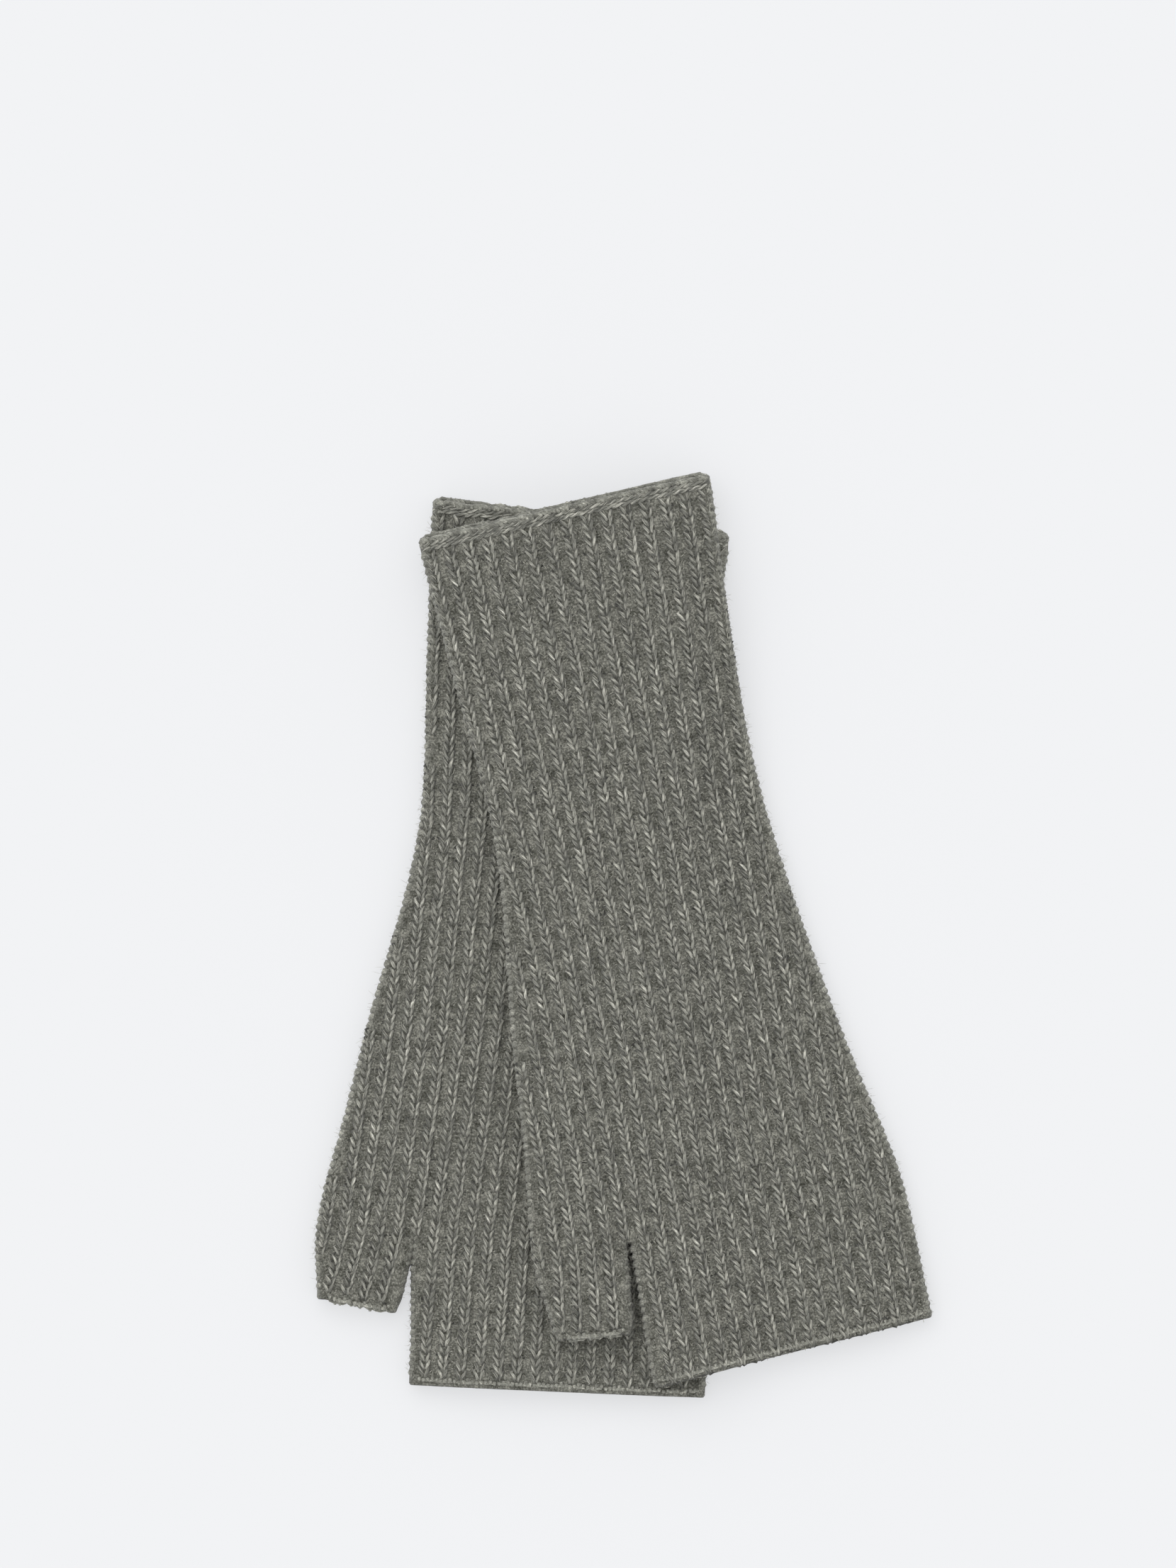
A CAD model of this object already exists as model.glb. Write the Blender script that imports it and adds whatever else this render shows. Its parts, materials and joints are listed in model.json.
"""A pair of long fingerless gloves in one-by-one rib, lying flat with one crossed over the other.

Lengths are worked out in millimetres and become metres where a mesh is made.
"""

import json
import math

import bmesh
import bpy
import numpy as np
from mathutils.bvhtree import BVHTree
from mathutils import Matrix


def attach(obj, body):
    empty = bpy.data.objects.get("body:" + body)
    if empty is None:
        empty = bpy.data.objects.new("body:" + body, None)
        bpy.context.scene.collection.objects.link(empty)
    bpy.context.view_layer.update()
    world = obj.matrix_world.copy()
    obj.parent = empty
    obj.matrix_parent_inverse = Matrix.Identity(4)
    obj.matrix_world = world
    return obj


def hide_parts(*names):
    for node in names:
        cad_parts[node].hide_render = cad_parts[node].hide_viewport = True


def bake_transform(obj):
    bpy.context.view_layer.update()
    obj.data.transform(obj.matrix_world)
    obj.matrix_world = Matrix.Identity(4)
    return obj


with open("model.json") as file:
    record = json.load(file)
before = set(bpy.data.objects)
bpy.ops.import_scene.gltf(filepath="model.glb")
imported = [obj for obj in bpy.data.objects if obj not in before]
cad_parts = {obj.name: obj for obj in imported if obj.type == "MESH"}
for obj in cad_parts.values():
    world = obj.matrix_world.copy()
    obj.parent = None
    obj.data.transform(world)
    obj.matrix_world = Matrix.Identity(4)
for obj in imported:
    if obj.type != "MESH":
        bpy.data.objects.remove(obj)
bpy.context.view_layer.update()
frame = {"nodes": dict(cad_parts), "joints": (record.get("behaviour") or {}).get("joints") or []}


# ---- The ribbed walls ----
# Each glove is one tube of one-by-one rib, knitted from the cuff up. A course is one yarn that makes
# knit loops in front and purl loops behind by turns, and the knit loops stand as ribs of V's.

MM = 0.001
COURSE = 2.5  # from one row to the next
CUFF_BAND = 4.2  # from the cuff's lip to the foot of the rib
RIM_BAND = 1.0  # from the last row of the rib to the lips of the fingers and the thumb
FIRST_COURSE = CUFF_BAND + 1.2 * COURSE
SKEW_LENGTH = 100  # the cuff lies askew, and its rows straighten out over this length

# The knit follows the solid model: a glove's directions come from its thumb's fold, its edges from
# the outlines of its seams, and its two faces from its back and palm walls.
GRID_STEP = 2.0
GRID_U = (-96.0, 76.0)
GRID_V = (-14.0, 296.0)
SMOOTHING = 7  # passes over the grid of heights
FILLING = 40  # passes that carry the heights on past the walls
EDGE_SMOOTHING = 4  # passes over an outline
MOUTH_PLACES = 31  # across a mouth, where its lips are found
LIP_POINTS = 60  # the points of a rim that are nearest to such a place
RAY_HEIGHT = 100  # from which the walls are looked for
SEAM_WIDTH = 3.2  # how far in from the outline the walls begin to turn
SEAM_FALL = 3.3  # how far the walls fall away in that turn
EDGE_MARGIN = 2.1  # from the outline to the middle of the nearest wale
TIP_CORNER = 1.3  # how far the thumb's sides draw in at its end
TIP_LENGTH = 5.0  # the length over which they do


def rise(start, end, value):
    """0 up to start, 1 from end on, and smooth between."""
    share = np.clip((value - start) / (end - start), 0, 1)
    return share * share * (3 - 2 * share)


def line_through(places, values):
    """A function that runs straight from each value to the next."""
    return lambda place: np.interp(place, places, values)


def blurred(grid):
    """A grid with every point mixed with its neighbours."""
    for axis in (0, 1):
        padded = np.pad(grid, [(1, 1) if a == axis else (0, 0) for a in (0, 1)], mode="edge")
        low, middle, high = (
            np.take(padded, range(start, start + grid.shape[axis]), axis) for start in range(3))
        grid = (low + 2 * middle + high) / 4
    return grid


class Glove:
    """One glove: u runs across it, away from the thumb, and v from the cuff to the fingers."""

    def __init__(self, name, rib_stations, thumb_spread, hand_spread):
        self.name = name
        fold = next(j for j in frame["joints"] if j["name"] == f"{name}_thumb_fold")
        self.across = -np.array(fold["axis"][:2])
        self.along = np.array([self.across[1], -self.across[0]])
        self.origin = np.zeros(2)
        cuff = self.flat("cuff_edge")
        low, high = cuff[:, 0].min(), cuff[:, 0].max()
        near_low = cuff[cuff[:, 0] < low + SEAM_WIDTH, 1].min()
        near_high = cuff[cuff[:, 0] > high - SEAM_WIDTH, 1].min()
        self.skew = (near_high - near_low) / (high - low)
        lip = float(self.mouth("cuff", "back")((low + high) / 2))
        self.origin = self.across * (low + high) / 2 + self.along * lip
        places, middles, pitches = np.array(rib_stations, float).T
        self.rib_middle = line_through(places, middles)
        self.rib_pitch = line_through(places, pitches)
        self.fold_at = self.flat("hand_outer_seam")[:, 1].min()
        self.crotch_at = self.flat("slot_hand_seam")[:, 1].min()
        self.fingers_at = self.flat("finger_edge")[:, 1].max()
        self.thumb_lip = self.mouth("thumb", "back")
        self.thumb_end = float(self.thumb_lip(self.flat("thumb_edge")[:, 0].mean()))
        self.spreads = {"thumb": (0, thumb_spread), "finger": (-hand_spread, 0), "cuff": (0, 0)}
        self.faces = {"back": self.heights("back", -1), "palm": self.heights("palm", 1)}
        thumb_side = self.edge(["arm_thumb_side_seam", "hand_thumb_side_seam"], min)
        outer_side = self.edge(["arm_outer_seam", "hand_outer_seam"], max)
        hand_slot = self.edge(["slot_hand_seam"], min, -hand_spread)
        thumb_outer = self.edge(["thumb_outer_seam"], min, 0, TIP_CORNER)
        thumb_slot = self.edge(["slot_thumb_seam"], max, thumb_spread, -TIP_CORNER)
        fingers_end = self.fingers_at - RIM_BAND
        thumb_end = self.thumb_end - RIM_BAND
        self.stretches = [
            Stretch(self, "arm", "arm", thumb_side, outer_side, FIRST_COURSE, self.fold_at),
            Stretch(self, "hand", "hand", thumb_side, outer_side, self.fold_at, self.crotch_at),
            Stretch(self, "finger", "hand", hand_slot, outer_side, self.crotch_at, fingers_end),
            Stretch(self, "thumb", "thumb", thumb_outer, thumb_slot, self.crotch_at, thumb_end),
        ]

    def points(self, part):
        """The points of one of the glove's solids, in millimetres."""
        mesh = frame["nodes"][f"{self.name}_{part}"].data
        return np.array([vertex.co for vertex in mesh.vertices]) / MM

    def flat(self, part):
        """A solid's points as (u, v)."""
        ground = self.points(part)[:, :2] - self.origin
        return np.column_stack([ground @ self.across, ground @ self.along])

    def edge(self, parts, outermost, spread=0.0, corner=0.0):
        """The outline of some seams as u at a given v, with the wool's spread and its end's corner."""
        ends = []
        for part in parts:
            points = self.flat(part)
            mesh = frame["nodes"][f"{self.name}_{part}"].data
            ends.append(points[np.array([edge.vertices[:] for edge in mesh.edges])])
        (u0, v0), (u1, v1) = np.concatenate(ends).transpose(1, 2, 0)
        places = np.arange(math.ceil(min(v0.min(), v1.min())), max(v0.max(), v1.max()))
        line = np.full(len(places), np.nan)
        for i, v in enumerate(places):
            crossed = (v0 - v) * (v1 - v) < 0
            if crossed.any():
                share = (v - v0[crossed]) / (v1[crossed] - v0[crossed])
                line[i] = outermost(u0[crossed] + (u1[crossed] - u0[crossed]) * share)
        met = np.isfinite(line)
        line = np.interp(places, places[met], line[met])
        for _ in range(EDGE_SMOOTHING):
            line[1:-1] = (line[:-2] + 2 * line[1:-1] + line[2:]) / 4
        line += spread + corner * rise(self.thumb_end - TIP_LENGTH, self.thumb_end + 1, places)
        return line_through(places, line)

    def mouth(self, part, face):
        """The outermost v of one lip of a mouth, at a given u."""
        points = self.flat(f"{part}_edge")
        height = self.points(f"{part}_edge")[:, 2]
        places = np.linspace(points[:, 0].min(), points[:, 0].max(), MOUTH_PLACES)
        outwards = -1 if part == "cuff" else 1
        line = []
        for u in places:
            near = np.argsort(np.abs(points[:, 0] - u))[:LIP_POINTS]
            middle = (height[near].min() + height[near].max()) / 2
            lip = near[height[near] > middle if face == "back" else height[near] <= middle]
            line.append(outwards * (outwards * points[lip, 1]).max())
        return line_through(places, line)

    def heights(self, face, upwards):
        """The outer height of one face on a grid, with its slopes across and along."""
        points, faces = [], []
        for part in ("arm", "hand", "thumb"):
            mesh = frame["nodes"][f"{self.name}_{part}_{face}_panel"].data
            faces += [[i + len(points) for i in polygon.vertices] for polygon in mesh.polygons]
            points += [vertex.co / MM for vertex in mesh.vertices]
        tree = BVHTree.FromPolygons(points, faces)
        us = np.arange(*GRID_U, GRID_STEP)
        vs = np.arange(*GRID_V, GRID_STEP)
        grid = np.full((len(us), len(vs)), np.nan)
        for i, u in enumerate(us):
            for k, v in enumerate(vs):
                x, y = self.origin + self.across * u + self.along * v
                hit = tree.ray_cast((x, y, -upwards * RAY_HEIGHT), (0, 0, upwards))[0]
                if hit:
                    grid[i, k] = hit.z
        known = np.isfinite(grid).astype(float)
        total = np.nan_to_num(grid)
        for _ in range(SMOOTHING):
            total, known = blurred(total), blurred(known)
        whole = total / np.maximum(known, 1e-9)
        reached = known > 1e-3
        for _ in range(FILLING):
            near = blurred(reached.astype(float))
            carried = blurred(reached * whole) / np.maximum(near, 1e-9)
            whole = np.where(reached, whole, carried)
            reached = reached | (near > 1e-3)
        return whole, *np.gradient(whole, GRID_STEP)

    def place(self, face, u, v, depth):
        """Points at a depth under a face's surface."""
        whole = self.faces[face][0]
        i = np.clip((u - GRID_U[0]) / GRID_STEP, 0, whole.shape[0] - 1.001)
        k = np.clip((v - GRID_V[0]) / GRID_STEP, 0, whole.shape[1] - 1.001)
        i0, k0 = i.astype(int), k.astype(int)
        i1, k1 = i - i0, k - k0
        height, slope_u, slope_v = (
            grid[i0, k0] * (1 - i1) * (1 - k1) + grid[i0 + 1, k0] * i1 * (1 - k1)
            + grid[i0, k0 + 1] * (1 - i1) * k1 + grid[i0 + 1, k0 + 1] * i1 * k1
            for grid in self.faces[face])
        ground = self.origin + np.outer(u, self.across) + np.outer(v, self.along)
        lean = -np.outer(slope_u, self.across) - np.outer(slope_v, self.along)
        normal = np.column_stack([lean, np.ones(len(u))])
        normal /= np.linalg.norm(normal, axis=1)[:, None]
        inwards = -normal if face == "back" else normal
        return np.column_stack([ground, height]) + inwards * np.reshape(depth, (-1, 1))

    def depth(self, face, points):
        """How far points lie under one face."""
        ground = points[:, :2] - self.origin
        surface = self.place(face, ground @ self.across, ground @ self.along, np.zeros(len(points)))
        return (surface[:, 2] - points[:, 2]) * (1 if face == "back" else -1)

    def side(self, edge_u, outwards, v, turn, depth):
        """Points round the side of the tube: turn 0 is on the back, a half turn is on the palm."""
        inner = edge_u - outwards * SEAM_WIDTH
        back = self.place("back", inner, v, np.zeros(len(inner)))
        palm = self.place("palm", inner, v, np.zeros(len(inner)))
        middle, tall = (back + palm) / 2, (back[:, 2] - palm[:, 2]) / 2
        out = (SEAM_WIDTH - depth) * np.sin(turn) * outwards
        up = (tall - depth) * np.cos(turn)
        return middle + np.outer(out, [*self.across, 0]) + np.outer(up, [0, 0, 1])


class Stretch:
    """A length of a glove's tube, between its two side edges."""

    def __init__(self, glove, name, part, left, right, start, end):
        self.glove = glove
        self.name = name
        self.part = part
        self.left = left
        self.right = right
        self.start = start
        self.end = end
        courses = np.arange(FIRST_COURSE, glove.fingers_at, COURSE)
        self.courses = courses[(courses >= start) & (courses < end)]

    def row(self, u, d):
        """v at u of the row d. The rows lie askew by the cuff, and in the thumb by its rim."""
        if self.name == "thumb":
            slant = self.glove.thumb_lip(u) - self.glove.thumb_end
            return d + slant * rise(self.glove.crotch_at, self.glove.thumb_end, d)
        return d + self.glove.skew * u * (1 - rise(0, SKEW_LENGTH, d))

    def wales(self, d):
        """Each wale's number and place in a row, even numbers being knit and odd ones purl."""
        lean, station = 0.0, d
        if self.name == "thumb":
            # The hand's wales go on beside the slot's edge, and run off the thumb's outer edge.
            station = self.glove.crotch_at
            lean = float(self.right(d) - self.right(station + 1))
        pitch = self.glove.rib_pitch(station) / 2
        middle = self.glove.rib_middle(station) + lean
        first = math.ceil((self.left(d) + EDGE_MARGIN - middle) / pitch)
        last = math.floor((self.right(d) - EDGE_MARGIN - middle) / pitch)
        return [(k, middle + k * pitch) for k in range(first, last + 1)]

    def rounding(self, u, d):
        """How far the walls fall away where they turn into the side edges."""
        near = np.minimum(u - self.left(d), self.right(d) - u)
        share = np.clip(1 - near / SEAM_WIDTH, 0, 0.97)
        return SEAM_FALL * (1 - np.sqrt(1 - share ** 2))


# Where the middle rib runs and how far apart the ribs are, at distances from the cuff. The spreads
# are how far the wool swells into the slot, past the thumb's edge and past the hand's.
upper = Glove("upper", [
    (0, 0, 6.5), (55, -2.5, 6.1), (95, -4, 5.8), (140, -5.3, 5.6),
    (200, -7.5, 5.55), (235, -9, 5.7), (281, -10.7, 5.7)], thumb_spread=1.0, hand_spread=0.2)
lower = Glove("lower", [
    (0, 0, 6.5), (55, -2.5, 6.1), (100, -4.2, 5.8), (166, -8.2, 5.75),
    (233, -13.8, 5.8), (281, -14.8, 5.95)], thumb_spread=2.6, hand_spread=1.0)
stretches = lower.stretches + upper.stretches

# The yarn is taken as woollen-spun lambswool, a guess from its look, in heather grey: charcoal, mid
# grey and cream fibres carded together and spun soft, so it is matte, and streaked along its length.
YARN_TWIST = 0.3  # turn of the fibres, in radians per millimetre
WOOL_BUMP = 0.0004
rng = np.random.default_rng(7)


def linear(hex_colour):
    """An sRGB hex value as linear light, with alpha."""
    parts = [int(hex_colour[i:i + 2], 16) / 255 for i in (1, 3, 5)]
    return [*(p / 12.92 if p <= 0.04045 else ((p + 0.055) / 1.055) ** 2.4 for p in parts), 1]


def add(tree, kind, links=(), **settings):
    """A node with its settings. links are (socket here, node, its output)."""
    made = tree.nodes.new(kind)
    for name, value in settings.items():
        if hasattr(made, name):
            setattr(made, name, value)
        else:
            made.inputs[name.replace("_", " ")].default_value = value
    for socket, source, output in links:
        tree.links.new(source.outputs[output], made.inputs[socket])
    return made


def stretched(tree, source, counts, **noise):
    """Noise over an attribute, with its counts per millimetre along the yarn and round it."""
    along, round_it = counts
    scaled = add(tree, "ShaderNodeVectorMath", [(0, source, "Vector")], operation="MULTIPLY")
    scaled.inputs[1].default_value = (along, round_it, round_it)
    return add(tree, "ShaderNodeTexNoise", [("Vector", scaled, 0)], Scale=1.0, **noise)


def wool(name, colours, fibre, slub, bump, shades):
    """Heather wool. colours are (place, hex) stops; fibre and slub are counts along and round.

    shades are the darkest, where yarns join deep in the wall, and the palest, on their crests."""
    material = bpy.data.materials.new(name)
    material.use_nodes = True
    tree = material.node_tree
    tree.nodes.clear()
    yarn = add(tree, "ShaderNodeAttribute", attribute_name="yarn")
    fibres = stretched(tree, yarn, fibre, Detail=4.0, Roughness=0.65)
    slubs = stretched(tree, yarn, slub, Detail=1.0)
    blend = add(tree, "ShaderNodeMix", [("A", fibres, 0), ("B", slubs, 0)], Factor=0.3)
    ramp = add(tree, "ShaderNodeValToRGB", [("Fac", blend, 0)])
    stops = ramp.color_ramp.elements
    stops[0].position, stops[1].position = colours[0][0], colours[-1][0]
    stops[0].color, stops[1].color = linear(colours[0][1]), linear(colours[-1][1])
    for place, colour in colours[1:-1]:
        stops.new(place).color = linear(colour)
    crest = add(tree, "ShaderNodeAttribute", attribute_name="crest")
    shade = add(tree, "ShaderNodeMapRange", [("Value", crest, "Fac")],
                To_Min=shades[0], To_Max=shades[1])
    tone = add(tree, "ShaderNodeVectorMath", [(0, ramp, 0), (1, shade, 0)], operation="MULTIPLY")
    relief = add(tree, "ShaderNodeBump", [("Height", fibres, 0)], Strength=1.0, Distance=bump)
    surface = add(tree, "ShaderNodeBsdfPrincipled", [("Base Color", tone, 0), ("Normal", relief, 0)],
                  Roughness=0.9, Sheen_Weight=0.2, Sheen_Roughness=0.5)
    surface.inputs["Specular IOR Level"].default_value = 0.2
    add(tree, "ShaderNodeOutputMaterial", [("Surface", surface, 0)])
    return material


# Woollen-spun lambswool, as guessed above, knitted and lightly fulled. Its fibres show as streaks
# along the yarn. Real ones are 0.02 mm thick, and these are drawn ten times as coarse, 2.2 mm long,
# so that they show.
rib_wool = wool(
    "heather_lambswool_rib",
    [(0.36, "#3a3a34"), (0.45, "#70706a"), (0.53, "#909087"), (0.58, "#b8b7ac"),
     (0.66, "#dfddd3")],
    fibre=(0.45, 4.5), slub=(0.15, 0.8), bump=WOOL_BUMP, shades=(0.32, 1.6))


def finished(name, mesh, values, crest, material):
    """A closed, smooth object from a mesh whose ends are still gathered points."""
    mesh.attributes.new("yarn", "FLOAT_VECTOR", "POINT").data.foreach_set("vector", values.ravel())
    mesh.attributes.new("crest", "FLOAT", "POINT").data.foreach_set("value", crest)
    work = bmesh.new()
    work.from_mesh(mesh)
    bmesh.ops.remove_doubles(work, verts=work.verts, dist=1e-6)
    bmesh.ops.recalc_face_normals(work, faces=work.faces)
    for face in work.faces:
        face.smooth = True
    work.to_mesh(mesh)
    work.free()
    mesh.materials.append(material)
    piece = bpy.data.objects.new(name, mesh)
    bpy.context.collection.objects.link(piece)
    return piece


def unrolled(mesh, paths, thickness, sides):
    """The tubes' own maps laid out side by side in one map, in cells near the tubes' shape."""
    own = mesh.uv_layers[0]
    flat = np.zeros(len(mesh.loops) * 2)
    own.data.foreach_get("uv", flat)
    flat = flat.reshape(-1, 2)
    length = np.mean([np.linalg.norm(np.diff(path, axis=0), axis=1).sum() for path in paths])
    columns = max(1, round(math.sqrt(len(paths) * 2 * math.pi * thickness / length)))
    rows = math.ceil(len(paths) / columns)
    corners = [(len(path) - 1) * sides * 4 for path in paths]
    cell = np.repeat(np.arange(len(paths)), corners)
    flat[:, 0] = (cell % columns + flat[:, 0]) / columns
    flat[:, 1] = (cell // columns + flat[:, 1]) / rows
    own.data.foreach_set("uv", flat.ravel())
    own.name = "OFBake"


def yarns(name, paths, radii, fine, material, crest_of=None):
    """Tubes of yarn along paths, closed to a tip at each end."""
    curve = bpy.data.curves.new(name, "CURVE")
    curve.dimensions = "3D"
    curve.bevel_depth = MM
    curve.bevel_resolution = 1 if fine else 0
    sides = 6 if fine else 4
    for path, radius in zip(paths, radii):
        spline = curve.splines.new("POLY")
        spline.points.add(len(path) - 1)
        spline.points.foreach_set("co", np.column_stack([path * MM, np.ones(len(path))]).ravel())
        thickness = np.array(radius, float)
        thickness[[0, -1]] = 0
        spline.points.foreach_set("radius", thickness)
    holder = bpy.data.objects.new(name, curve)
    mesh = bpy.data.meshes.new_from_object(holder)
    bpy.data.objects.remove(holder)
    unrolled(mesh, paths, np.mean(np.concatenate(radii)), sides)
    steps = [np.linalg.norm(np.diff(path, axis=0), axis=1) for path in paths]
    run = [np.concatenate([[0], np.cumsum(step)]) + rng.uniform(0, 500) for step in steps]
    length = np.repeat(np.concatenate(run), sides)
    thick = np.repeat(np.concatenate(radii), sides)
    turn = np.tile(np.arange(sides) * 2 * np.pi / sides, len(length) // sides)
    turn += YARN_TWIST * length
    values = np.column_stack([length, thick * np.cos(turn), thick * np.sin(turn)])
    points = np.zeros(len(mesh.vertices) * 3)
    mesh.vertices.foreach_get("co", points)
    crest = crest_of(points.reshape(-1, 3) / MM) if crest_of else np.full(len(points) // 3, 0.7)
    return finished(name, mesh, values, crest, material)


# The arm and the thumb fold over on the hand, so their knit bends over a length beyond the fold.
BODIES = {
    "lower": {"arm": "lower_glove", "hand": "lower_glove", "thumb": "lower_thumb"},
    "upper": {"arm": "upper_arm", "hand": "upper_hand", "thumb": "upper_thumb"},
}


def fit(piece, glove, part, node):
    """Put a piece on its body, in the place of its solid."""
    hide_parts(f"{glove.name}_{node}")
    hand, own = BODIES[glove.name]["hand"], BODIES[glove.name][part]
    if own == hand:
        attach(piece, own)
        return
    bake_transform(piece)


# A loop's points: across in rib pitches, towards the cuff in courses, outwards in millimetres.
KNIT_LOOP = np.array([
    (-0.13, -0.22, -0.05), (-0.03, 0.10, 0.55), (-0.13, 0.58, 0.85), (-0.26, 1.05, 0.45),
    (-0.01, 1.45, -0.30), (0.25, 1.05, 0.45), (0.17, 0.58, 0.85), (0.10, 0.10, 0.55),
    (0.15, -0.22, -0.05)])
PURL_LOOP = np.array([
    (-0.10, -0.10, -0.25), (-0.19, 0.85, -0.75), (0.0, 1.42, -0.35),
    (0.19, 0.85, -0.75), (0.10, -0.10, -0.25)])
LOOP_STRAY = (0.016, 0.06, 0.08)
POINT_STRAY = (0.015, 0.05, 0.06)
KNIT_RADIUS = 0.57
PURL_RADIUS = 0.64
WALL_MIDDLE = 1.5  # of the knitted wall, below its face
CREST_DEPTH = 1.1  # the yarns are palest at the wall's face and darkest this far under it


def knit(stretch, face, name):
    """The yarns of the courses of one wall, through every wale from edge to edge."""
    glove = stretch.glove
    paths, radii = [], []
    for d in stretch.courses:
        points, radius = [], []
        for wale, u in stretch.wales(d):
            shape = PURL_LOOP if wale % 2 else KNIT_LOOP
            loop = shape + rng.normal(0, 1, 3) * LOOP_STRAY + rng.normal(0, 1, shape.shape) * POINT_STRAY
            loop[:, 0] = u + loop[:, 0] * glove.rib_pitch(d)
            loop[:, 1] = d - loop[:, 1] * COURSE
            points.append(loop)
            radius.append(np.full(len(loop), PURL_RADIUS if wale % 2 else KNIT_RADIUS))
        points = np.concatenate(points)
        u = points[:, 0]
        depth = WALL_MIDDLE - points[:, 2] + stretch.rounding(u, d)
        paths.append(glove.place(face, u, stretch.row(u, points[:, 1]), depth))
        radii.append(np.concatenate(radius))

    def crest(points):
        return 1 - glove.depth(face, points) / CREST_DEPTH

    return yarns(name, paths, radii, face == "back", rib_wool, crest)


for stretch in stretches:
    for face in ("back", "palm"):
        ribs = knit(stretch, face, f"{stretch.glove.name}_{stretch.name}_{face}_ribs")
        fit(ribs, stretch.glove, stretch.part, f"{stretch.part}_{face}_panel")


# ---- The nap in the walls ----
# Washing fulls the wool. Fibres between the yarns mat into one soft web that fills the purl wales
# and the joins of the loops, and leaves only the legs of the V's standing clear.

NAP_COLUMN = 0.8
NAP_ROW = 1.25
NAP_HALF = 0.42  # of its thickness
NAP_LEVEL = 0.05  # above the middle of the wall
NAP_RIB = 0.12  # how much it rises along the ribs
NAP_UNEVEN = 0.11
NAP_TUCK = 0.55  # how far under the side edges it turns
NAP_OVERLAP = 0.6
NAP_STARTS = {"arm": 2.0}
COARSE_ROWS, COARSE_COLUMNS = 2, 1.6  # on the palm
SIDE_TURNS = np.linspace(0, np.pi / 2, 6)[1:]

# The same wool, fulled. Matted fibres have no direction, so the web is mottled, in spots of 0.7 mm,
# instead of streaked.
nap_wool = wool(
    "fulled_heather_nap",
    [(0.36, "#393931"), (0.46, "#63635b"), (0.53, "#7a7a72"), (0.62, "#a9a89d")],
    fibre=(1.5, 1.5), slub=(0.3, 0.3), bump=0.0006, shades=(1.0, 1.0))


def slab(name, outer, inner, values, material):
    """A closed slab between two grids of points, thinned to nothing at its first and last rows."""
    rows, columns = outer.shape[:2]
    ring = np.concatenate([outer, inner[:, ::-1], outer[:, :1]], axis=1)
    around = np.concatenate([values, values[:, ::-1], values[:, :1]], axis=1)
    middle = (outer + inner) / 2
    for end in (0, -1):
        ring[end] = np.concatenate([middle[end], middle[end, ::-1], middle[end, :1]])
    work = bmesh.new()
    work.loops.layers.uv.new("OFBake")
    bmesh.ops.create_grid(work, x_segments=2 * columns, y_segments=rows - 1, size=1, calc_uvs=True)
    mesh = bpy.data.meshes.new(name)
    work.to_mesh(mesh)
    work.free()
    mesh.vertices.foreach_set("co", (ring * MM).ravel())
    return finished(name, mesh, around, np.full(len(mesh.vertices), 0.5), material)


def nap(stretch, face, name):
    """The web of one wall, with half of the turn at each of its sides."""
    glove, fine = stretch.glove, face == "back"
    start = NAP_STARTS.get(stretch.name, stretch.start) - NAP_OVERLAP
    end = stretch.end + NAP_OVERLAP
    rows = np.arange(start, end + NAP_ROW * 0.99, NAP_ROW * (1 if fine else COARSE_ROWS))
    rows[-1] = end
    width = float(stretch.right((start + end) / 2) - stretch.left((start + end) / 2))
    share = np.linspace(0, 1, int(width / NAP_COLUMN / (1 if fine else COARSE_COLUMNS)))
    turns = SIDE_TURNS if fine else np.pi - SIDE_TURNS
    outer, inner, values = [], [], []
    for d in rows:
        left, right = float(stretch.left(d)), float(stretch.right(d))
        u = left + SEAM_WIDTH + (right - left - 2 * SEAM_WIDTH) * share
        v = stretch.row(u, d)
        phase = (u - glove.rib_middle(d)) / glove.rib_pitch(d)
        rib = NAP_RIB * np.cos(2 * np.pi * phase)
        middle = WALL_MIDDLE - NAP_LEVEL - rib - rng.normal(0, NAP_UNEVEN, len(u))
        for grid, half, tuck in (
            (outer, NAP_HALF, NAP_TUCK),
            (inner, -NAP_HALF, NAP_TUCK + 2 * NAP_HALF),
        ):
            level = glove.place(face, u, v, middle - half)
            turned = []
            for edge, outwards in ((left, -1), (right, 1)):
                at = np.full(len(turns), edge)
                turned.append(glove.side(at, outwards, stretch.row(at, d), turns, tuck))
            grid.append(np.concatenate([turned[0][::-1], level, turned[1]]))
        beyond = np.arange(1, len(turns) + 1)
        spread = np.concatenate([u[0] - beyond[::-1], u, u[-1] + beyond])
        values.append(np.column_stack([spread, np.full(len(spread), d), np.zeros(len(spread))]))
    return slab(name, np.array(outer), np.array(inner), np.array(values), nap_wool)


for stretch in stretches:
    for face in ("back", "palm"):
        web = nap(stretch, face, f"{stretch.glove.name}_{stretch.name}_{face}_nap")
        fit(web, stretch.glove, stretch.part, f"{stretch.part}_{face}_panel")


# ---- The side edges ----
# The tube folds flat between two ribs, so the yarn of each course wraps each side in plain purl
# from the back wall to the palm wall, and the edges look smoother and paler than the ribs.

WRAP_RADIUS = 1.25
WRAP_TURNS = np.linspace(0.35, np.pi - 0.35, 9)
WRAP_WAVE = 0.45  # how far a purl loop swings to and fro along the edge
WRAP_SHIFT = 0.4  # of that swing from one course to the next, in radians
WRAP_STRAY = 0.1
WRAP_SINK = 0.2  # how much deeper some of them lie
SIDE_EDGES = {
    "arm": (("thumb_side", "arm_thumb_side_seam"), ("outer_side", "arm_outer_seam")),
    "hand": (("thumb_side", "hand_thumb_side_seam"), ("outer_side", "hand_outer_seam")),
    "finger": (("slot_side", "slot_hand_seam"), ("outer_side", "hand_outer_seam")),
    "thumb": (("outer_side", "thumb_outer_seam"), ("slot_side", "slot_thumb_seam")),
}

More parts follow.
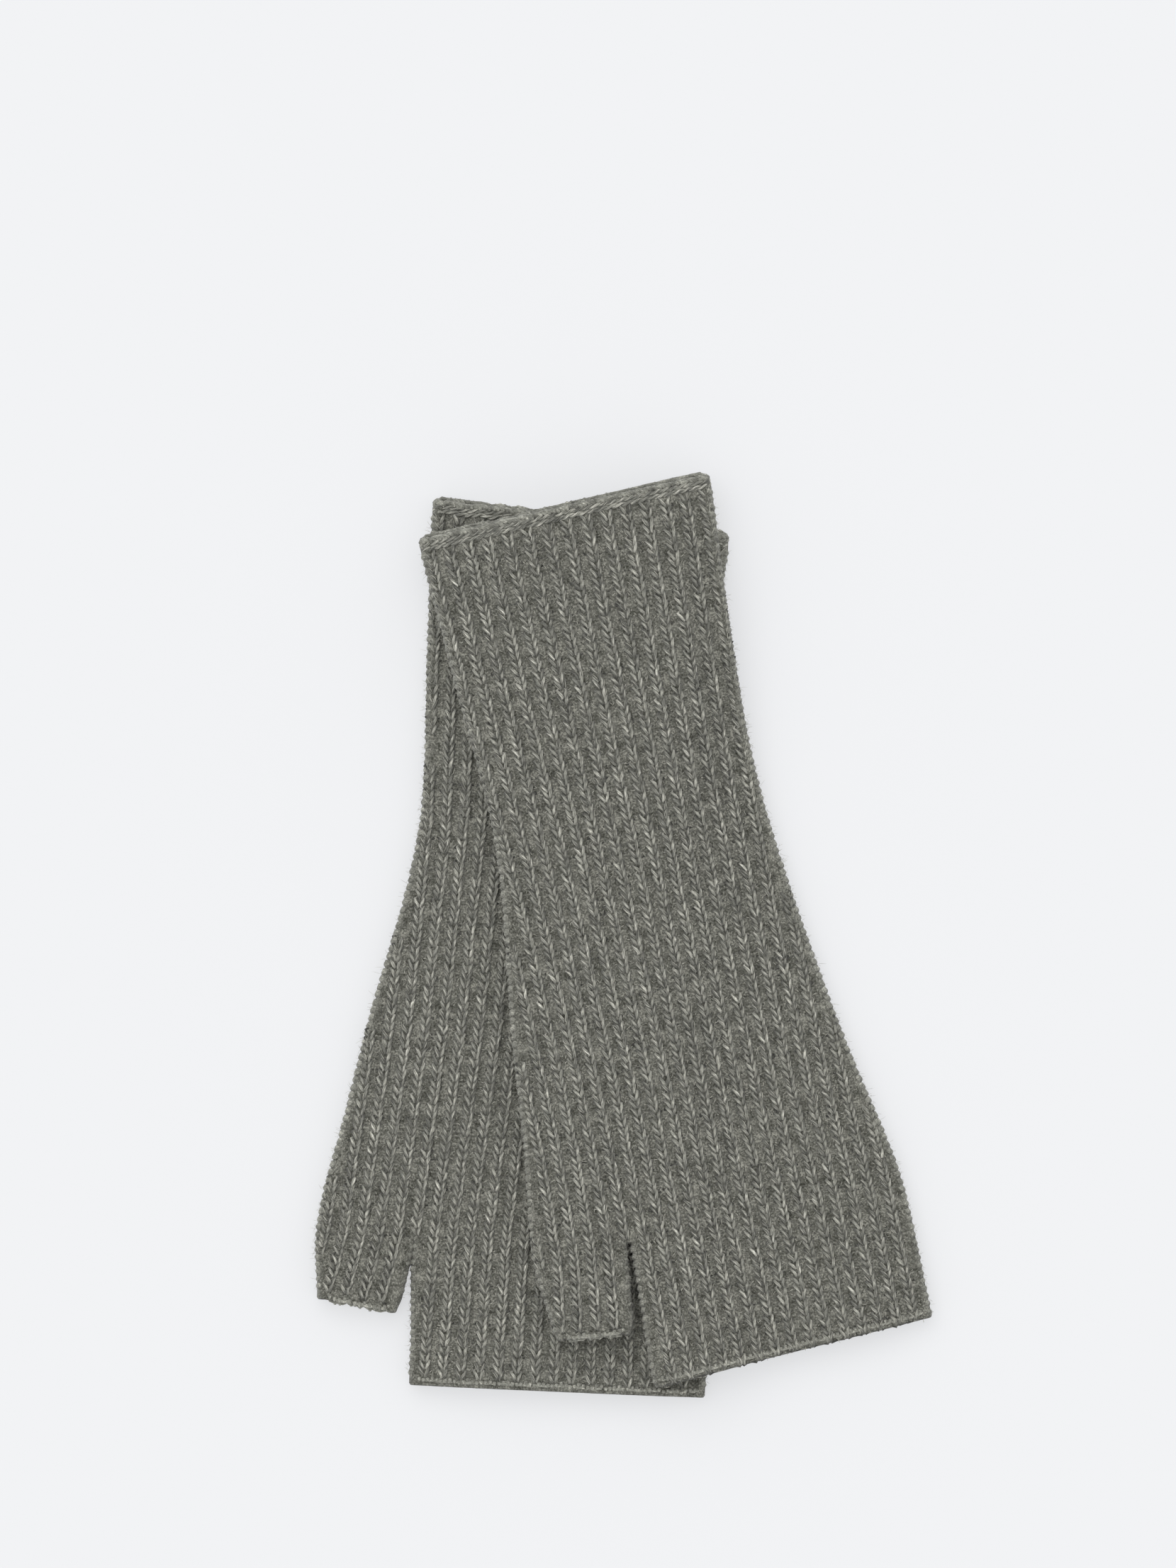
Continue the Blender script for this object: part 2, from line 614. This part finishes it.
# The same wool, brushed up at the edges, which raises pale ends of fibres. They show as short soft
# streaks, 0.8 mm long.
edge_wool = wool(
    "brushed_heather_edge",
    [(0.34, "#55554e"), (0.46, "#7e7e76"), (0.56, "#94948b"), (0.64, "#c8c7bb")],
    fibre=(1.2, 2.8), slub=(0.3, 0.6), bump=WOOL_BUMP, shades=(0.32, 1.55))


def side_edges(stretch):
    """Each side of a stretch: its name, its solid, its outline, and which way is outwards."""
    low, high = SIDE_EDGES[stretch.name]
    return (*low, stretch.left, -1), (*high, stretch.right, 1)


def wraps(stretch, edge, outwards, name):
    """One yarn for each course, round one side of the tube."""
    paths, radii = [], []
    for d in stretch.courses:
        at = np.full(len(WRAP_TURNS), float(edge(d)))
        swing = 3 * WRAP_TURNS + rng.uniform(-WRAP_SHIFT, WRAP_SHIFT)
        wave = WRAP_WAVE * np.cos(swing) + rng.normal(0, WRAP_STRAY)
        v = stretch.row(at, d - COURSE / 2 + wave)
        depth = WRAP_RADIUS + rng.uniform(0, WRAP_SINK)
        paths.append(stretch.glove.side(at, outwards, v, WRAP_TURNS, depth))
        radii.append(np.full(len(WRAP_TURNS), WRAP_RADIUS))
    return yarns(name, paths, radii, True, edge_wool)


for stretch in stretches:
    for side, node, edge, outwards in side_edges(stretch):
        band = wraps(stretch, edge, outwards, f"{stretch.glove.name}_{stretch.name}_{side}_wraps")
        fit(band, stretch.glove, stretch.part, node)


# ---- The rims of the mouths ----
# The cuff is bound off with slanting stitches over a soft core. The finger and thumb mouths are
# thin, and their ribs run on to the very edge, so each stitch there ends a wale.

ROLL_STEP = 1.2
RIM_SPACING = 1.4
STITCH_MIDDLE = 1.45  # how far in from the outside a stitch turns over the lip
STITCH_STRAY = 0.13
ROLL_STRAY = 0.05
RIM_GAP = 0.1  # from the lip to the core under it
WALE_SHADE = 0.3  # how much paler a stitch is over a knit wale
MOUTHS = {
    "cuff": {"part": "arm", "corner": 0.5, "slant": 1.0, "reach": 1.3, "radius": 0.72,
             "paleness": 0.65, "scallop": 0.0, "core": 0.8},
    "finger": {"part": "hand", "corner": 0.8, "slant": 0.0, "reach": 1.0, "radius": 0.6,
               "paleness": 0.95, "scallop": 0.35, "core": 0.65},
    "thumb": {"part": "thumb", "corner": 1.6, "slant": 0.0, "reach": 1.0, "radius": 0.6,
              "paleness": 0.95, "scallop": 0.3, "core": 0.65},
}


def ring(glove, mouth, depth, inset, step):
    """Points round a mouth under its surface, and which way is outwards from the tube."""
    back, palm = glove.mouth(mouth, "back"), glove.mouth(mouth, "palm")
    inward = 1 if mouth == "cuff" else -1
    outline = glove.flat(f"{mouth}_edge")[:, 0]
    corner = MOUTHS[mouth]["corner"]
    left = outline.min() + glove.spreads[mouth][0] + corner
    right = outline.max() + glove.spreads[mouth][1] - corner

    def lip(edge, u):
        """v of a lip, drawn back towards its corners."""
        near = np.clip(np.minimum(u - left, right - u) / (3 * corner), 0, 1)
        return edge(u) + inward * (inset + corner * (1 - np.sqrt(1 - (1 - near) ** 2)))

    low, high = left + SEAM_WIDTH, right - SEAM_WIDTH
    us = np.linspace(low, high, max(int((high - low) / step), 3))
    turn = np.linspace(0, np.pi, max(int(math.pi * SEAM_WIDTH / step), 5))[1:-1]
    depths = np.full(len(us), float(depth))
    level = np.zeros(len(us))
    backs = glove.place("back", us, lip(back, us), depths)
    palms = glove.place("palm", us, lip(palm, us), depths)[::-1]
    sides = []
    for edge, outwards, sweep in ((right, 1, turn), (left, -1, turn[::-1])):
        at = np.full(len(sweep), edge)
        share = (1 - np.cos(sweep)) / 2
        v = back(at) * (1 - share) + palm(at) * share + inward * (inset + corner)
        points = glove.side(at, outwards, v, sweep, depth)
        sides.append((points, np.sin(sweep) * outwards, np.cos(sweep)))
    parts = [(backs, level, level + 1), sides[0], (palms, level, level - 1), sides[1]]
    points, out, up = (np.concatenate([part[i] for part in parts]) for i in range(3))
    return points, np.outer(out, [*glove.across, 0]) + np.outer(up, [0, 0, 1])


def closed(path, values):
    """A ring's points, run on a little past its start."""
    return np.concatenate([path, path[:2]]), np.concatenate([values, values[:2]])


def knit_share(glove, points):
    """1 on a knit wale, -1 on a purl one, and smooth between."""
    ground = points[:, :2] - glove.origin
    v = ground @ glove.along
    place = ground @ glove.across - glove.rib_middle(v)
    return np.cos(2 * np.pi * place / glove.rib_pitch(v))


def roll(glove, mouth, name):
    """The soft core of a rim."""
    core = MOUTHS[mouth]["core"]
    points = ring(glove, mouth, WALL_MIDDLE, core + MOUTHS[mouth]["scallop"] + RIM_GAP, ROLL_STEP)[0]
    path, radius = closed(points, np.full(len(points), core))

    def crest(points):
        return np.full(len(points), MOUTHS[mouth]["paleness"])

    radius = radius + rng.normal(0, ROLL_STRAY, len(radius))
    return yarns(name, [path], [radius], True, edge_wool, crest)


def stitches(glove, mouth, name):
    """Short stitches over the lip, from outside to inside."""
    radius = MOUTHS[mouth]["radius"]
    outside, normal = ring(glove, mouth, 0.0, 0.0, RIM_SPACING)
    inward = np.array([*glove.along, 0]) * (1 if mouth == "cuff" else -1)
    onward = np.roll(outside, -1, axis=0) - outside
    scallop = MOUTHS[mouth]["scallop"] * (1 - knit_share(glove, outside))
    turn = np.linspace(0, np.pi, 7)
    paths = []
    for point, out, on, drawn in zip(outside, normal, onward, scallop):
        depth = STITCH_MIDDLE - (STITCH_MIDDLE - radius) * np.cos(turn)
        inset = radius + drawn + MOUTHS[mouth]["reach"] * np.abs(np.cos(turn)) ** 1.5
        inset += rng.normal(0, STITCH_STRAY)
        along = MOUTHS[mouth]["slant"] * np.cos(turn)
        paths.append(point - np.outer(depth, out) + np.outer(inset, inward) + np.outer(along, on))

    def crest(points):
        return MOUTHS[mouth]["paleness"] + WALE_SHADE * knit_share(glove, points)

    return yarns(name, paths, [np.full(len(turn), radius)] * len(paths), True, edge_wool, crest)


for glove in (lower, upper):
    for mouth, settings in MOUTHS.items():
        core = roll(glove, mouth, f"{glove.name}_{mouth}_rim_roll")
        fit(core, glove, settings["part"], f"{mouth}_edge")
        lip = stitches(glove, mouth, f"{glove.name}_{mouth}_rim_stitches")
        fit(lip, glove, settings["part"], f"{mouth}_edge")


# ---- The chain of the cuffs ----
# Binding off leaves a chain below the cuff's rim: two rows of twisted rib yarn that lie round the
# mouth and draw it in a little.

CHAIN_INSETS = (2.35, 3.75)  # from the lip
CHAIN_RADIUS = 0.46
CHAIN_TWIST = 0.42  # from the middle of the strand to each of its plies
CHAIN_TURN = 5.6  # the length of one twist
CHAIN_STEP = 0.45
CHAIN_DEPTH = 1.0


def chain(glove, name):
    """Two strands of two plies each."""
    paths, radii = [], []
    inward = np.array([*glove.along, 0])
    for inset in CHAIN_INSETS:
        points, normal = ring(glove, "cuff", CHAIN_DEPTH, inset, CHAIN_STEP)
        run = np.concatenate([[0], np.cumsum(np.linalg.norm(np.diff(points, axis=0), axis=1))])
        for ply in (0, np.pi):
            angle = run * 2 * np.pi / CHAIN_TURN + ply + inset
            twist = np.outer(np.cos(angle), inward) + normal * np.sin(angle)[:, None]
            path, radius = closed(points + CHAIN_TWIST * twist, np.full(len(points), CHAIN_RADIUS))
            paths.append(path)
            radii.append(radius)
    return yarns(name, paths, radii, True, rib_wool)


for glove in (lower, upper):
    fit(chain(glove, f"{glove.name}_cuff_chain"), glove, "arm", "cuff_edge")


# ---- The pale guard hairs ----
# Pale hairs lie along the legs of the V's and across the purl wales, half caught in the web. They
# are the flecks of the wool, and are taken as undyed guard hairs.

HAIR_RADIUS = 0.085
HAIR_SHARES = {"back": 0.8, "palm": 0.3}  # of the places for a hair that have one
HAIR_STEPS = np.array([0, 0.33, 0.67, 1])
HAIR_DIPS = np.array([0.3, 0, 0, 0.3])  # its ends go back into the wool
HAIR_STRAYS = (0.22, 0.3)  # of a hair's two ends
HAIR_BOW = 0.07  # of its length
HAIR_UNEVEN = 0.06
HAIR_THICKNESS = (0.6, 1.3)  # of the usual radius
LEG_DEPTH = 0.1
VALLEY_DEPTH = 0.9
VALLEY_HALF = (0.9, 1.2)  # of a purl stitch, across and along
VALLEY_REACH = (0.3, 0.8)  # half of the length of a hair there
# The two legs of a V, from top to foot, in rib pitches and courses.
LEGS = np.array([[(-0.27, 1.15), (-0.02, 0.05)], [(0.26, 1.15), (0.10, 0.05)]])

# Cream guard hair, undyed by its look. It is smooth and thick beside wool, so each hair shows as one
# pale, even line.
guard_hair = wool(
    "cream_guard_hair",
    [(0.3, "#75756c"), (0.5, "#b6b5a9"), (0.7, "#e0ded3")],
    fibre=(0.05, 0.5), slub=(0.05, 0.5), bump=0.0001, shades=(1.0, 1.0))


def flecks(stretch, face, name):
    """A short hair on most legs of the V's, and two across most stitches of the purl wales."""
    glove = stretch.glove
    starts, ends, depths = [], [], []
    for d in stretch.courses:
        scale = np.array([glove.rib_pitch(d), -COURSE])
        for wale, u in stretch.wales(d):
            here = np.array([u, d])
            if wale % 2 == 0:
                lines = [here + leg * scale for leg in LEGS]
            else:
                angle = rng.uniform(0, np.pi, 2)
                middle = here + rng.uniform(-1, 1, (2, 2)) * VALLEY_HALF
                aim = np.column_stack([np.cos(angle), np.sin(angle)])
                reach = aim * rng.uniform(*VALLEY_REACH, (2, 1))
                lines = [(m - r, m + r) for m, r in zip(middle, reach)]
            fall = stretch.rounding(u, d) + (VALLEY_DEPTH if wale % 2 else LEG_DEPTH)
            for start, end in lines:
                if rng.random() < HAIR_SHARES[face]:
                    starts.append(start + rng.normal(0, HAIR_STRAYS[0], 2))
                    ends.append(end + rng.normal(0, HAIR_STRAYS[1], 2))
                    depths.append(fall)
    starts, ends, depths = np.array(starts), np.array(ends), np.array(depths)
    count, steps = len(starts), len(HAIR_STEPS)
    path = starts[:, None] + (ends - starts)[:, None] * HAIR_STEPS[:, None]
    bow = rng.normal(0, HAIR_BOW, (count, 1)) * (ends - starts)[:, ::-1] * (1, -1)
    path[:, 1:3] += bow[:, None]
    depth = depths[:, None] + HAIR_DIPS + rng.normal(0, HAIR_UNEVEN, (count, steps))
    u, d = path.reshape(-1, 2).T
    points = glove.place(face, u, stretch.row(u, d), depth.ravel())
    radius = HAIR_RADIUS * rng.uniform(*HAIR_THICKNESS, count)
    radii = np.repeat(radius[:, None], steps, axis=1)
    return yarns(name, list(points.reshape(count, steps, 3)), list(radii), False, guard_hair)


for stretch in stretches:
    for face in ("back", "palm"):
        hairs = flecks(stretch, face, f"{stretch.glove.name}_{stretch.name}_{face}_flecks")
        fit(hairs, stretch.glove, stretch.part, f"{stretch.part}_{face}_panel")


# ---- The haze at the outline ----
# Short fine fibres stand off the folded sides, where handling has raised them.

HAZE_RADIUS = 0.035
HAZE_PER_COURSE = 6
HAZE_REACH = (0.4, 1.1)
HAZE_ROOT = 0.3  # how deep in the edge a fibre starts
HAZE_FLOOR = 0.1  # the lowest a fibre hangs


def haze(stretch, edge, outwards, name):
    """Fine hairs along one side edge."""
    glove = stretch.glove
    count = len(stretch.courses) * HAZE_PER_COURSE
    d = rng.choice(stretch.courses, count) + rng.uniform(-1.3, 1.3, count)
    turn = rng.uniform(0.25, 0.75, count) * np.pi
    at = edge(d)
    root = glove.side(at, outwards, stretch.row(at, d - COURSE / 2), turn, HAZE_ROOT)
    out = np.column_stack([np.outer(np.sin(turn) * outwards, glove.across), np.cos(turn)])
    lean = rng.normal(0, 0.55, (count, 3))
    reach = rng.uniform(*HAZE_REACH, count)[:, None]
    curl = rng.normal(0, 0.25, (count, 3)) * reach
    paths = np.stack([
        root,
        root + (out + lean) * reach * 0.4,
        root + (out + lean) * reach * 0.75 + curl,
        root + (out + lean * 1.4) * reach + curl * 1.8], axis=1)
    paths[:, :, 2] = np.maximum(paths[:, :, 2], HAZE_FLOOR)
    return yarns(name, list(paths), [np.full(4, HAZE_RADIUS)] * count, False, guard_hair)


for stretch in stretches:
    for side, node, edge, outwards in side_edges(stretch):
        fuzz = haze(stretch, edge, outwards, f"{stretch.glove.name}_{stretch.name}_{side}_haze")
        fit(fuzz, stretch.glove, stretch.part, node)


# ---- Floor, light and camera ----
# A sheet of white acrylic lit a little from below, under broad soft light from nearly straight
# above, and a camera that looks straight down.

FLOOR_SIZE = 6
FLOOR_LEVEL = -0.0008
FLOOR_COLOUR = "#f2f3f5"
BACKLIGHT = 0.6  # of the floor's brightness that comes through it

floor_mesh = bpy.data.meshes.new("floor")
work = bmesh.new()
bmesh.ops.create_grid(work, x_segments=1, y_segments=1, size=FLOOR_SIZE)
work.to_mesh(floor_mesh)
work.free()
floor = bpy.data.objects.new("floor", floor_mesh)
bpy.context.collection.objects.link(floor)
floor.location.z = FLOOR_LEVEL

# Opal acrylic sheet, matt on top: it scatters light evenly and shows no reflection.
acrylic = bpy.data.materials.new("matt_opal_acrylic")
acrylic.use_nodes = True
acrylic_surface = acrylic.node_tree.nodes["Principled BSDF"]
white = linear(FLOOR_COLOUR)
scattered = [part * (1 - BACKLIGHT) for part in white[:3]]
acrylic_surface.inputs["Base Color"].default_value = [*scattered, 1]
acrylic_surface.inputs["Emission Color"].default_value = white
acrylic_surface.inputs["Emission Strength"].default_value = BACKLIGHT
acrylic_surface.inputs["Roughness"].default_value = 1.0
acrylic_surface.inputs["Specular IOR Level"].default_value = 0.0
floor_mesh.materials.append(acrylic)

WORLD_STRENGTH = 0.76
KEY_SHARE = 0.24  # of a level surface's light
KEY_TILT = (-25, -15)
KEY_SPREAD = 60

world = bpy.data.worlds.new("studio")
bpy.context.scene.world = world
world.use_nodes = True
world.node_tree.nodes["Background"].inputs["Color"].default_value = (1, 1, 1, 1)
world.node_tree.nodes["Background"].inputs["Strength"].default_value = WORLD_STRENGTH

key_light = bpy.data.lights.new("overhead_soft_light", "SUN")
# A level surface takes its share of the sun's light, which falls off as the sun tilts.
key_light.energy = KEY_SHARE * math.pi / math.prod(math.cos(math.radians(a)) for a in KEY_TILT)
key_light.angle = math.radians(KEY_SPREAD)
key = bpy.data.objects.new("overhead_soft_light", key_light)
key.rotation_euler = (math.radians(KEY_TILT[0]), math.radians(KEY_TILT[1]), 0)
bpy.context.collection.objects.link(key)

CAMERA_PLACE = (-0.0114, 0.0483, 3.0)
FIELD_HEIGHT = 0.5032

camera = bpy.data.cameras.new("camera")
camera.sensor_width = 36
camera.lens = camera.sensor_width * CAMERA_PLACE[2] / FIELD_HEIGHT
camera.clip_end = 20
eye = bpy.data.objects.new("camera", camera)
eye.location = CAMERA_PLACE
bpy.context.collection.objects.link(eye)
bpy.context.scene.camera = eye
bpy.context.scene.view_settings.view_transform = "Standard"
